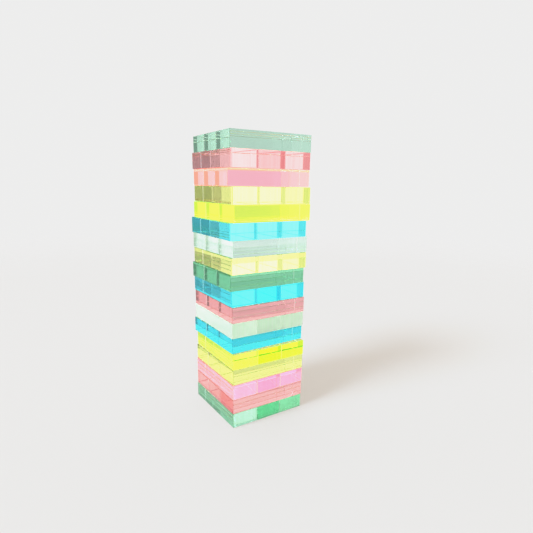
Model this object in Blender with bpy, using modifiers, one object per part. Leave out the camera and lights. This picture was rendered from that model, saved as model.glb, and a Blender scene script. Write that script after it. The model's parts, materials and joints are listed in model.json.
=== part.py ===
"""Giant tumbling tower: 54 solid acrylic blocks, stacked three to a layer.

Metres, +Z up.  The tower stands on Z = 0 and its box is centred on the Z axis.
The front faces -Y.  Layers are counted from the bottom.  In the odd layers the
blocks run front to back (along Y); in the even layers they run left to right
(along X).  Every block is one solid node of its own, parented to an empty that
sits at its centre, with the empty's Y axis along the block: the direction in
which the block is pushed or pulled out.
"""

import math

import bmesh
import bpy
from mathutils import Matrix, Vector

TOWER_NAME = "giant_tumbling_tower"

# One block
BLOCK_LENGTH = 0.1250
BLOCK_WIDTH = 0.0414
BLOCK_HEIGHT = 0.0229
EDGE_CHAMFER = 0.0005

# The stack
BLOCKS_PER_LAYER = 3
SIDE_GAP = 0.0004
LAYER_GAP = 0.0003
MILLIMETRE = 0.001

# Tints of the cast sheet: colour, alpha
TINTS = {
    "acrylic_sea_green": ((0.22, 0.62, 0.42), 0.55),
    "acrylic_mint": ((0.50, 0.80, 0.66), 0.50),
    "acrylic_rose": ((0.88, 0.38, 0.42), 0.55),
    "acrylic_neon_pink": ((1.00, 0.42, 0.62), 0.60),
    "acrylic_pale_yellow": ((0.90, 0.90, 0.45), 0.50),
    "acrylic_neon_yellow": ((0.85, 1.00, 0.05), 0.65),
    "acrylic_cyan": ((0.05, 0.72, 0.88), 0.55),
    "acrylic_clear": ((0.84, 0.92, 0.86), 0.35),
    "acrylic_opal": ((0.82, 0.90, 0.82), 0.80),
}
ACRYLIC_ROUGHNESS = 0.05

# How each layer sits, from the bottom up: its tint, how far it is slid to the
# right and to the back (mm), and how far it is turned, seen from above
# (degrees, anticlockwise)
LAYERS = (
    ("acrylic_sea_green", -1.0, -1.0, 1.0),
    ("acrylic_rose", -1.0, -2.0, 0.5),
    ("acrylic_neon_pink", -1.0, -2.0, 0.5),
    ("acrylic_pale_yellow", 0.0, -1.0, 0.5),
    ("acrylic_neon_yellow", 1.0, -1.0, 0.0),
    ("acrylic_cyan", 0.5, 5.0, 1.5),
    ("acrylic_opal", 1.0, 3.0, 0.0),
    ("acrylic_rose", 1.0, 2.0, 0.5),
    ("acrylic_cyan", 1.0, 4.0, 0.5),
    ("acrylic_sea_green", -2.0, 2.0, 0.5),
    ("acrylic_pale_yellow", 0.0, 0.0, 0.0),
    ("acrylic_clear", 0.0, 0.0, 1.5),
    ("acrylic_cyan", -3.0, -1.0, 0.0),
    ("acrylic_neon_yellow", 0.5, -4.0, 1.0),
    ("acrylic_pale_yellow", 1.0, -3.0, -1.5),
    ("acrylic_neon_pink", 0.0, -1.0, -3.5),
    ("acrylic_rose", 0.0, -1.0, -1.0),
    ("acrylic_mint", 3.0, 2.0, -2.0),
)
# Blocks in a layer, in the order of their places across it
NAMES_FRONT_TO_BACK = ("left", "middle", "right")
NAMES_LEFT_TO_RIGHT = ("front", "middle", "back")


def clear_scene():
    """Start from an empty scene."""
    for thing in list(bpy.data.objects):
        bpy.data.objects.remove(thing, do_unlink=True)


def acrylic(name):
    """The Principled material of one tint."""
    colour, alpha = TINTS[name]
    material = bpy.data.materials.new(name)
    material.use_nodes = True
    shader = material.node_tree.nodes["Principled BSDF"]
    shader.inputs["Base Color"].default_value = (*colour, 1.0)
    shader.inputs["Roughness"].default_value = ACRYLIC_ROUGHNESS
    shader.inputs["Metallic"].default_value = 0.0
    shader.inputs["Alpha"].default_value = alpha
    return material


def block_mesh(name):
    """A plain block, lying along Y, its middle on the origin."""
    mesh = bpy.data.meshes.new(name)
    shape = bmesh.new()
    bmesh.ops.create_cube(shape, size=1.0)
    size = Vector((BLOCK_WIDTH, BLOCK_LENGTH, BLOCK_HEIGHT))
    bmesh.ops.scale(shape, vec=size, verts=shape.verts)
    shape.to_mesh(mesh)
    shape.free()
    return mesh


def chamfer(block):
    """Break every edge of the block."""
    bevel = block.modifiers.new("edge_chamfer", "BEVEL")
    bevel.width = EDGE_CHAMFER
    bevel.segments = 1
    bevel.limit_method = "ANGLE"


def layer_places():
    """Where every block sits: (layer, name, tint, centre, turn about Z)."""
    pitch_up = BLOCK_HEIGHT + LAYER_GAP
    pitch_across = BLOCK_WIDTH + SIDE_GAP
    for index, (tint, right_mm, back_mm, degrees) in enumerate(LAYERS):
        runs_front_to_back = index % 2 == 0
        height = BLOCK_HEIGHT / 2 + index * pitch_up
        centre = Vector((right_mm * MILLIMETRE, back_mm * MILLIMETRE, height))
        turn = math.radians(degrees)
        names = NAMES_FRONT_TO_BACK
        if not runs_front_to_back:
            turn -= math.pi / 2
            names = NAMES_LEFT_TO_RIGHT
        across = Matrix.Rotation(turn, 3, "Z") @ Vector((pitch_across, 0.0, 0.0))
        if not runs_front_to_back:
            across = -across
        for place, name in enumerate(names):
            step = place - (BLOCKS_PER_LAYER - 1) / 2
            yield index + 1, name, tint, centre + across * step, turn


def footprint_centre(places):
    """The middle of the box round every block, in plan."""
    corners = []
    for _, _, _, centre, turn in places:
        rotation = Matrix.Rotation(turn, 3, "Z")
        for x in (-BLOCK_WIDTH / 2, BLOCK_WIDTH / 2):
            for y in (-BLOCK_LENGTH / 2, BLOCK_LENGTH / 2):
                corners.append(centre + rotation @ Vector((x, y, 0.0)))
    xs = [corner.x for corner in corners]
    ys = [corner.y for corner in corners]
    return Vector(((min(xs) + max(xs)) / 2, (min(ys) + max(ys)) / 2, 0.0))


def build_tower():
    """Stack the 54 blocks."""
    tower = bpy.data.collections.new(TOWER_NAME)
    bpy.context.scene.collection.children.link(tower)
    materials = {name: acrylic(name) for name in TINTS}
    places = list(layer_places())
    middle = footprint_centre(places)
    for layer, name, tint, centre, turn in places:
        node = f"layer_{layer:02d}_{name}"
        axis = bpy.data.objects.new(f"{node}_axis", None)
        axis.location = centre - middle
        axis.rotation_euler = (0.0, 0.0, turn)
        tower.objects.link(axis)
        block = bpy.data.objects.new(node, block_mesh(node))
        block.data.materials.append(materials[tint])
        block.parent = axis
        chamfer(block)
        tower.objects.link(block)


clear_scene()
build_tower()
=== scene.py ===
"""The looks of the giant tumbling tower: 54 polished bars of coloured cast acrylic.

Every bar stands in for one CAD block.  It has eased edges, a skin with the marks of casting,
sawing and handling, and a volume that absorbs light, so that the tint deepens with the depth
of acrylic that the light has crossed.
"""

import json
import math

import bmesh
import bpy
from mathutils import Matrix, Quaternion, Vector


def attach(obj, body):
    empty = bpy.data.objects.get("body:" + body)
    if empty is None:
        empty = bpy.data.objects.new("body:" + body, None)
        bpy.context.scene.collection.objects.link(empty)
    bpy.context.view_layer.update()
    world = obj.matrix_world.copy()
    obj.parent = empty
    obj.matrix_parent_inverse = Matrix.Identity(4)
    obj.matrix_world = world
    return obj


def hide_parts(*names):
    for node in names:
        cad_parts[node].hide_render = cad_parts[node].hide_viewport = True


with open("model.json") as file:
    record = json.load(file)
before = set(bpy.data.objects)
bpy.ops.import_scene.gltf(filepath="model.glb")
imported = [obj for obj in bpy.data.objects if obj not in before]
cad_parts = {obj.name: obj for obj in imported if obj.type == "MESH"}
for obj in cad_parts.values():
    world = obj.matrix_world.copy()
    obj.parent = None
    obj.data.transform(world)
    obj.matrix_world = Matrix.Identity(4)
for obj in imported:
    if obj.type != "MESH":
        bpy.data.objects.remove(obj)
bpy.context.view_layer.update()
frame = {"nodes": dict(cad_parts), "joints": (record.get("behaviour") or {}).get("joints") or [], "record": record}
ROOT_NODE = "layer_01_middle"
ROOT_NEIGHBOUR = "layer_01_left"
UP = Vector((0.0, 0.0, 1.0))

# Edges of a bar, in metres, and how straight along an axis the normal of a flat face points
EDGE_RADIUS = 0.0006
EDGE_SEGMENTS = 3
SQUARE_ON = 0.999

# The acrylic, in metres where it has a size
ACRYLIC_IOR = 1.49
TINT_LENGTH = 0.125
DENSITY_MARGIN = 1.02
SHEET_WAVE = {"scale": 38.0, "detail": 0.0, "height": 0.000018}
HAIRLINES = {"scale": 260.0, "detail": 2.0, "stretch": 0.05, "height": 0.0000012}
SAW_LINES = {"scale": 420.0, "detail": 1.0, "stretch": 0.02, "height": 0.000012}
NOISE_FROM_BAR_TO_BAR = 3.7
EDGE_ROUGHNESS = 0.18
SAWN_ROUGHNESS = 0.03
SAW_LINE_RANGE = (0.45, 0.62)
SAW_LINE_SHADE = 0.86

# The bars of a layer are cut from one sheet.  How strong its tint is, and how much deeper the
# skin shows it on the sides of all its bars, or on the ends of the bar that is named
SHEETS = {
    1: (0.6, {"sides": 0.15, "middle": 1.0, "right": 0.7}),
    2: (0.9, {"front": 0.6}),
    3: (0.9, {"left": 0.45, "middle": 0.75, "right": 0.55}),
    4: (0.9, {}),
    5: (0.85, {"left": 0.4, "middle": 1.0, "right": 0.8}),
    6: (0.95, {}),
    7: (1.0, {}),
    8: (0.9, {}),
    9: (1.0, {"middle": 0.5}),
    10: (0.95, {}),
    11: (0.8, {"left": 0.1, "middle": 0.1, "right": 0.3}),
    12: (0.75, {"sides": 0.15}),
    13: (0.75, {}),
    14: (0.8, {}),
    15: (0.8, {"left": 0.2, "middle": 0.2, "right": 0.45}),
    16: (0.85, {}),
    17: (0.68, {"left": 0.7, "middle": 0.95, "right": 0.75}),
    18: (0.85, {}),
}

# Each tint: how much red, green and blue light comes through 125 mm of it, and the colour of its
# painted glow, emission that stands in for the fluorescence or haze of the tint under the lamps
NO_PAINTED_GLOW = (0.0, 0.0, 0.0)
TINTS = {
    "acrylic_sea_green": ((0.26, 0.70, 0.44), NO_PAINTED_GLOW),
    "acrylic_mint": ((0.59, 0.89, 0.73), NO_PAINTED_GLOW),
    "acrylic_rose": ((0.96, 0.47, 0.48), NO_PAINTED_GLOW),
    "acrylic_neon_pink": ((0.96, 0.48, 0.70), (0.45, 0.16, 0.03)),
    "acrylic_pale_yellow": ((0.87, 0.96, 0.30), NO_PAINTED_GLOW),
    "acrylic_neon_yellow": ((0.76, 0.97, 0.11), (0.20, 0.30, 0.03)),
    "acrylic_cyan": ((0.08, 0.83, 0.96), NO_PAINTED_GLOW),
    "acrylic_clear": ((0.74, 0.88, 0.86), (0.06, 0.10, 0.05)),
    "acrylic_opal": ((0.78, 0.93, 0.80), (0.11, 0.14, 0.11)),
}

# Painted light: the glow shows in full on the edges, and on the ends of the bars that lie left to
# right, whose left ends face the key lamp; the other faces show this share of it
PAINTED_GLOW_OF_SIDES = 0.12

OPAL = "acrylic_opal"
CLEAR = (1.0, 1.0, 1.0)
OPAL_WHITE = (0.80, 0.84, 0.76)
OPAL_CLEAR_SHARE = 0.85

# How much rougher than polished the faces of a hazy tint are
HAZE = {"acrylic_opal": 0.45, "acrylic_clear": 0.08}


def add_node(tree, kind, inputs, output=0, **settings):
    """A new node, its inputs set or linked, and one of its outputs."""
    made = tree.nodes.new(kind)
    for name, value in settings.items():
        setattr(made, name, value)
    for socket, value in inputs.items():
        if isinstance(value, bpy.types.NodeSocket):
            tree.links.new(value, made.inputs[socket])
        else:
            made.inputs[socket].default_value = value
    return made.outputs[output]


def math_node(tree, operation, a, b):
    return add_node(tree, "ShaderNodeMath", {0: a, 1: b}, operation=operation)


def scaled(tree, vector, amount):
    """A colour or a direction times a number; Vector Math keeps the number at socket 3."""
    return add_node(tree, "ShaderNodeVectorMath", {0: vector, 3: amount}, operation="SCALE")


def attribute(tree, name):
    return add_node(tree, "ShaderNodeAttribute", {}, "Fac", attribute_name=name)


def map_range(tree, value, low, high, to_low, to_high, interpolation="LINEAR"):
    inputs = {0: value, 1: low, 2: high, 3: to_low, 4: to_high}
    return add_node(tree, "ShaderNodeMapRange", inputs, interpolation_type=interpolation)


def mix_colour(tree, factor, a, b):
    """A blend of two colours; Mix keeps its colour sockets at 6 and 7, its result at 2."""
    return add_node(tree, "ShaderNodeMix", {0: factor, 6: a, 7: b}, 2, data_type="RGBA")


def long_axes():
    """The direction along each bar, from its slide; the root lies like its neighbour."""
    axes = {joint["child"]: Vector(joint["axis"]).normalized() for joint in frame["joints"]}
    axes[ROOT_NODE] = axes[ROOT_NEIGHBOUR].copy()
    return axes


def bar_mesh(name, size, number, depth_at_sides, depth_at_ends, painted_glow_on_ends):
    """A bar along its own Y axis, its edges eased, its faces marked by what they are and by where the painted glow
    shows.
    """
    mesh = bpy.data.meshes.new(name)
    shape = bmesh.new()
    bmesh.ops.create_cube(shape, size=1.0)
    bmesh.ops.scale(shape, vec=size, verts=shape.verts)
    bmesh.ops.bevel(
        shape,
        geom=list(shape.edges),
        offset=EDGE_RADIUS,
        segments=EDGE_SEGMENTS,
        profile=0.5,
        affect="EDGES",
    )
    end = shape.faces.layers.float.new("end")
    edge = shape.faces.layers.float.new("edge")
    painted_glow = shape.faces.layers.float.new("painted_glow")
    number_of = shape.faces.layers.float.new("bar_number")
    depth_of = shape.faces.layers.float.new("tint_depth")
    shape.normal_update()
    for face in shape.faces:
        face[edge] = 0.0 if max(abs(part) for part in face.normal) > SQUARE_ON else 1.0
        face[end] = 1.0 if abs(face.normal.y) > SQUARE_ON else 0.0
        # Painted glow: full on edges, and on the ends of left-to-right bars, whose left ends face the key lamp
        face[painted_glow] = max(face[edge], face[end] if painted_glow_on_ends else 0.0)
        face[number_of] = number
        face[depth_of] = depth_at_ends if face[end] else depth_at_sides
    shape.to_mesh(mesh)
    shape.free()
    return mesh


def stretched(tree, place, stretch):
    return add_node(tree, "ShaderNodeMapping", {"Vector": place, "Scale": stretch})


def noise(tree, place, number, marks):
    """Noise that differs from bar to bar."""
    inputs = {"Vector": place, "W": number, "Scale": marks["scale"], "Detail": marks["detail"]}
    return add_node(tree, "ShaderNodeTexNoise", inputs, noise_dimensions="4D")


def bump(tree, height, distance, normal=None):
    inputs = {"Height": height, "Distance": distance, "Strength": 1.0}
    if normal:
        inputs["Normal"] = normal
    return add_node(tree, "ShaderNodeBump", inputs)


def skin(tree, shader):
    """The marks on a bar: the wave of cast sheet, hairlines along it, saw lines on its ends."""
    place = add_node(tree, "ShaderNodeTexCoord", {}, "Object")
    number = attribute(tree, "bar_number")
    number = math_node(tree, "MULTIPLY", number, NOISE_FROM_BAR_TO_BAR)
    end, edge = attribute(tree, "end"), attribute(tree, "edge")
    side = math_node(tree, "SUBTRACT", 1.0, end)

    wave = noise(tree, place, number, SHEET_WAVE)
    normal = bump(tree, wave, SHEET_WAVE["height"])
    along = stretched(tree, place, (1.0, HAIRLINES["stretch"], 1.0))
    hairs = noise(tree, along, number, HAIRLINES)
    normal = bump(tree, math_node(tree, "MULTIPLY", hairs, side), HAIRLINES["height"], normal)
    upright = stretched(tree, place, (1.0, 1.0, SAW_LINES["stretch"]))
    lines = noise(tree, upright, number, SAW_LINES)
    normal = bump(tree, math_node(tree, "MULTIPLY", lines, end), SAW_LINES["height"], normal)
    tree.links.new(normal, shader.inputs["Normal"])
    return lines, end, edge


def absorption(through, strength):
    """The colour and density that let this much light through the tint's length."""
    rates = [-math.log(part) * strength / TINT_LENGTH for part in through]
    density = max(rates) * DENSITY_MARGIN
    return [1.0 - rate / density for rate in rates], density


def skin_colour(tree, name, lines, end):
    """Clear or opal white, deeper where a bar shows more tint, darker along the saw lines."""
    base = OPAL_WHITE if name == OPAL else CLEAR
    deeper = [part * tint for part, tint in zip(base, TINTS[name][0])]
    tint = mix_colour(tree, attribute(tree, "tint_depth"), (*base, 1.0), (*deeper, 1.0))
    line = map_range(tree, lines, *SAW_LINE_RANGE, 0.0, 1.0)
    marked = math_node(tree, "MULTIPLY", line, end)
    shade = map_range(tree, marked, 0.0, 1.0, 1.0, SAW_LINE_SHADE)
    return scaled(tree, tint, shade)


def skin_roughness(tree, name, lines, end, edge):
    """Polished faces, sawn ends and ground edges, all rougher on a hazy tint."""
    sawn = math_node(tree, "MULTIPLY", math_node(tree, "MULTIPLY", lines, end), SAWN_ROUGHNESS)
    rough = math_node(tree, "ADD", sawn, math_node(tree, "MULTIPLY", edge, EDGE_ROUGHNESS))
    if name in HAZE:
        rough = math_node(tree, "ADD", rough, HAZE[name])
    return rough


def set_painted_glow(tree, shader, name, painted_glow):
    """The tint's painted glow, emission standing in for fluorescence and haze: even on opal, weaker on some faces
    of the others.
    """
    shader.inputs["Emission Color"].default_value = (*painted_glow, 1.0)
    if name == OPAL:
        shader.inputs["Emission Strength"].default_value = 1.0
    else:
        strength = map_range(tree, attribute(tree, "painted_glow"), 0.0, 1.0, PAINTED_GLOW_OF_SIDES, 1.0)
        tree.links.new(strength, shader.inputs["Emission Strength"])


def acrylic(name, layer):
    through, painted_glow = TINTS[name]
    material = bpy.data.materials.new(f"{name}_of_layer_{layer:02d}")
    material.use_nodes = True
    tree = material.node_tree
    shader = tree.nodes["Principled BSDF"]
    shader.inputs["IOR"].default_value = ACRYLIC_IOR
    clear_share = OPAL_CLEAR_SHARE if name == OPAL else 1.0
    shader.inputs["Transmission Weight"].default_value = clear_share
    lines, end, edge = skin(tree, shader)
    tree.links.new(skin_colour(tree, name, lines, end), shader.inputs["Base Color"])
    tree.links.new(skin_roughness(tree, name, lines, end, edge), shader.inputs["Roughness"])
    # Painted light: emission that stands in for the fluorescence or haze lit by the lamps
    if painted_glow != NO_PAINTED_GLOW:
        set_painted_glow(tree, shader, name, painted_glow)
    colour, density = absorption(through, SHEETS[layer][0])
    inputs = {"Color": (*colour, 1.0), "Density": density}
    absorb = add_node(tree, "ShaderNodeVolumeAbsorption", inputs)
    tree.links.new(absorb, tree.nodes["Material Output"].inputs["Volume"])
    return material


def build_bars():
    axes = long_axes()
    tint_of = {entry["node"]: entry["material_slot"] for entry in frame["record"]["subparts"]}
    materials = {}
    for number, (node, solid) in enumerate(sorted(frame["nodes"].items())):
        along = axes[node]
        across = along.cross(UP).normalized()
        turn = Matrix((across, along, UP)).transposed()
        local = [turn.transposed() @ vertex.co for vertex in solid.data.vertices]
        low = Vector([min(point[i] for point in local) for i in range(3)])
        high = Vector([max(point[i] for point in local) for i in range(3)])
        layer, place = int(node.split("_")[1]), node.split("_")[2]
        if layer not in materials:
            materials[layer] = acrylic(tint_of[node], layer)
        deeper = SHEETS[layer][1]
        depths = deeper.get("sides", 0.0), deeper.get(place, 0.0)
        left_to_right = abs(along.x) > abs(along.y)
        mesh = bar_mesh(f"{node}_bar", high - low, number, *depths, left_to_right)
        bar = bpy.data.objects.new(f"{node}_bar", mesh)
        bar.matrix_world = Matrix.Translation(turn @ ((low + high) / 2)) @ turn.to_4x4()
        bar.data.materials.append(materials[layer])
        bpy.context.scene.collection.objects.link(bar)
        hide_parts(node)
        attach(bar, node)


# The floor: a disc of pale paper, partly lit evenly, that fades into the backdrop.  It is lit
# more where it is seen through bars, and less where a polished face mirrors it
FLOOR_RADIUS = 3.0
FLOOR_SEGMENTS = 96
FLOOR_DROP = 0.0005
FLOOR_FADE = (0.9, 2.8)
FLOOR_COLOUR = (0.215, 0.215, 0.215)
FLOOR_ROUGHNESS = 0.9
FLOOR_SPECULAR = 0.1
FLOOR_LIT = (0.515, 0.46, 0.40)
FLOOR_LIT_THROUGH_BARS = 1.8
FLOOR_LIT_THROUGH_ONE_BAR = 2.25
REFLECTIONS = 0.2

# A ray goes through two faces to cross a bar, so its count is below this after one bar
FACES_OF_ONE_BAR = 2.5


def mirrored(tree, path):
    """1 on a ray that a polished face has turned back, not one scattered by paper."""
    return math_node(tree, "MULTIPLY", path["Is Reflection Ray"], path["Is Glossy Ray"])


def through_one_bar(tree, path):
    """1 on a ray that has gone into and out of one bar at the most."""
    return math_node(tree, "LESS_THAN", path["Transmission Depth"], FACES_OF_ONE_BAR)


def build_floor():
    mesh = bpy.data.meshes.new("floor")
    shape = bmesh.new()
    bmesh.ops.create_circle(shape, cap_ends=True, radius=FLOOR_RADIUS, segments=FLOOR_SEGMENTS)
    shape.to_mesh(mesh)
    shape.free()
    floor = bpy.data.objects.new("floor", mesh)
    floor.location.z = -FLOOR_DROP
    material = bpy.data.materials.new("floor_paper")
    material.use_nodes = True
    tree = material.node_tree
    shader = tree.nodes["Principled BSDF"]
    shader.inputs["Base Color"].default_value = (*FLOOR_COLOUR, 1.0)
    shader.inputs["Roughness"].default_value = FLOOR_ROUGHNESS
    shader.inputs["Specular IOR Level"].default_value = FLOOR_SPECULAR
    shader.inputs["Emission Color"].default_value = (*FLOOR_LIT, 1.0)
    path = tree.nodes.new("ShaderNodeLightPath").outputs
    lit_through = (FLOOR_LIT_THROUGH_BARS, FLOOR_LIT_THROUGH_ONE_BAR)
    brighter = map_range(tree, through_one_bar(tree, path), 0.0, 1.0, *lit_through)
    lit = map_range(tree, path["Is Transmission Ray"], 0.0, 1.0, 1.0, brighter)
    less = map_range(tree, mirrored(tree, path), 0.0, 1.0, 1.0, REFLECTIONS)
    lit = math_node(tree, "MULTIPLY", lit, less)
    tree.links.new(lit, shader.inputs["Emission Strength"])
    place = add_node(tree, "ShaderNodeTexCoord", {}, "Object")
    radius = add_node(tree, "ShaderNodeVectorMath", {0: place}, "Value", operation="LENGTH")
    fade = map_range(tree, radius, *FLOOR_FADE, 0.0, 1.0, "SMOOTHERSTEP")
    nothing = add_node(tree, "ShaderNodeBsdfTransparent", {})
    surface = add_node(tree, "ShaderNodeMixShader", {0: fade, 1: shader.outputs[0], 2: nothing})
    tree.links.new(surface, tree.nodes["Material Output"].inputs["Surface"])
    floor.data.materials.append(material)
    bpy.context.scene.collection.objects.link(floor)


def direction(azimuth, elevation):
    """Azimuth from +Y towards +X, in degrees."""
    a, e = math.radians(azimuth), math.radians(elevation)
    return Vector((math.sin(a) * math.cos(e), math.cos(a) * math.cos(e), math.sin(e)))


# The studio: an even dome, a darker side, and two soft boxes.  Each patch of the dome is given
# as azimuth, elevation, full within and gone beyond (degrees).  The back box, and a little more
# of the dome, show only through one bar; the camera sees the backdrop
DOME = (0.85, 0.85, 0.85, 1.0)
BACKDROP = (0.875, 0.875, 0.87, 1.0)
DARK_SIDE = (148.0, 8.0, 24.0, 60.0)
DARK_SIDE_COLOUR = (0.2, 0.2, 0.2, 1.0)
KEY_BOX = (-93.0, 38.0, 5.0, 14.0)
KEY_COLOUR = (38.0, 48.5, 59.0)
BACK_BOX = (-36.0, 2.0, 12.0, 30.0)
BACK_COLOUR = (1.65, 1.3, 1.25)
DOME_THROUGH_ONE_BAR = (0.16, 0.18, 0.17)


def patch(tree, ray, azimuth, elevation, full, gone):
    """1 inside a round patch of the dome, falling to 0 outside it."""
    inputs = {0: ray, 1: direction(azimuth, elevation)}
    cosine = add_node(tree, "ShaderNodeVectorMath", inputs, "Value", operation="DOT_PRODUCT")
    edge, middle = math.cos(math.radians(gone)), math.cos(math.radians(full))
    return map_range(tree, cosine, edge, middle, 0.0, 1.0, "SMOOTHSTEP")


def add_light(tree, total, colour, amount):
    inputs = {0: total, 1: scaled(tree, colour, amount)}
    return add_node(tree, "ShaderNodeVectorMath", inputs, operation="ADD")


def build_world():
    world = bpy.data.worlds.new("studio")
    bpy.context.scene.world = world
    world.use_nodes = True
    tree = world.node_tree
    tree.nodes.clear()
    ray = add_node(tree, "ShaderNodeTexCoord", {}, "Generated")
    path = tree.nodes.new("ShaderNodeLightPath").outputs
    total = mix_colour(tree, patch(tree, ray, *DARK_SIDE), DOME, DARK_SIDE_COLOUR)
    total = add_light(tree, total, KEY_COLOUR, patch(tree, ray, *KEY_BOX))
    at_most_one = through_one_bar(tree, path)
    one_bar = math_node(tree, "MULTIPLY", at_most_one, path["Is Transmission Ray"])
    behind = math_node(tree, "MULTIPLY", patch(tree, ray, *BACK_BOX), one_bar)
    total = add_light(tree, total, BACK_COLOUR, behind)
    total = add_light(tree, total, DOME_THROUGH_ONE_BAR, one_bar)
    less = map_range(tree, mirrored(tree, path), 0.0, 1.0, 1.0, REFLECTIONS)
    total = scaled(tree, total, less)
    total = mix_colour(tree, path["Is Camera Ray"], total, BACKDROP)
    background = add_node(tree, "ShaderNodeBackground", {"Color": total})
    output = tree.nodes.new("ShaderNodeOutputWorld")
    tree.links.new(background, output.inputs["Surface"])


CAMERA_PLACE = (-0.3209, -0.5523, 0.3509)
CAMERA_HEADING = 32.71
CAMERA_PITCH = -15.9
CAMERA_ROLL = 0.946
CAMERA_LENS = 28.23
CAMERA_SENSOR = 36.0
CAMERA_SHIFT = 0.0694


def build_camera():
    data = bpy.data.cameras.new("camera")
    data.lens = CAMERA_LENS
    data.sensor_width = CAMERA_SENSOR
    data.shift_y = CAMERA_SHIFT
    camera = bpy.data.objects.new("camera", data)
    camera.location = CAMERA_PLACE
    aim = direction(CAMERA_HEADING, CAMERA_PITCH).to_track_quat("-Z", "Y")
    camera.rotation_mode = "QUATERNION"
    camera.rotation_quaternion = aim @ Quaternion((0, 0, 1), math.radians(CAMERA_ROLL))
    bpy.context.scene.collection.objects.link(camera)
    bpy.context.scene.camera = camera


# The film: highlights above the knee roll off towards the limit instead of clipping
FILM_KNEE = 0.80
FILM_LIMIT = 0.93
FILM_WHITE = 4.0
FILM_POINTS = 14
FILM_STEP = 1.15
COMBINED_CURVE = 3


def rolled_off(light):
    if light <= FILM_KNEE:
        return light
    room = FILM_LIMIT - FILM_KNEE
    return FILM_KNEE + room * (1.0 - math.exp((FILM_KNEE - light) / room))


def set_film():
    view = bpy.context.scene.view_settings
    view.view_transform = "Standard"
    view.use_curve_mapping = True
    mapping = view.curve_mapping
    mapping.white_level = (FILM_WHITE, FILM_WHITE, FILM_WHITE)
    curve = mapping.curves[COMBINED_CURVE]
    curve.points[0].location = (0.0, 0.0)
    curve.points[1].location = (1.0, rolled_off(FILM_WHITE))
    for step in range(FILM_POINTS):
        light = FILM_KNEE * FILM_STEP**step
        if light < FILM_WHITE:
            curve.points.new(light / FILM_WHITE, rolled_off(light))
    for point in curve.points:
        point.handle_type = "VECTOR"
    mapping.update()


def set_light_paths():
    cycles = bpy.context.scene.cycles
    cycles.max_bounces = 48
    cycles.transmission_bounces = 48
    cycles.glossy_bounces = 48
    cycles.diffuse_bounces = 4


build_bars()
build_floor()
build_world()
build_camera()
set_film()
set_light_paths()
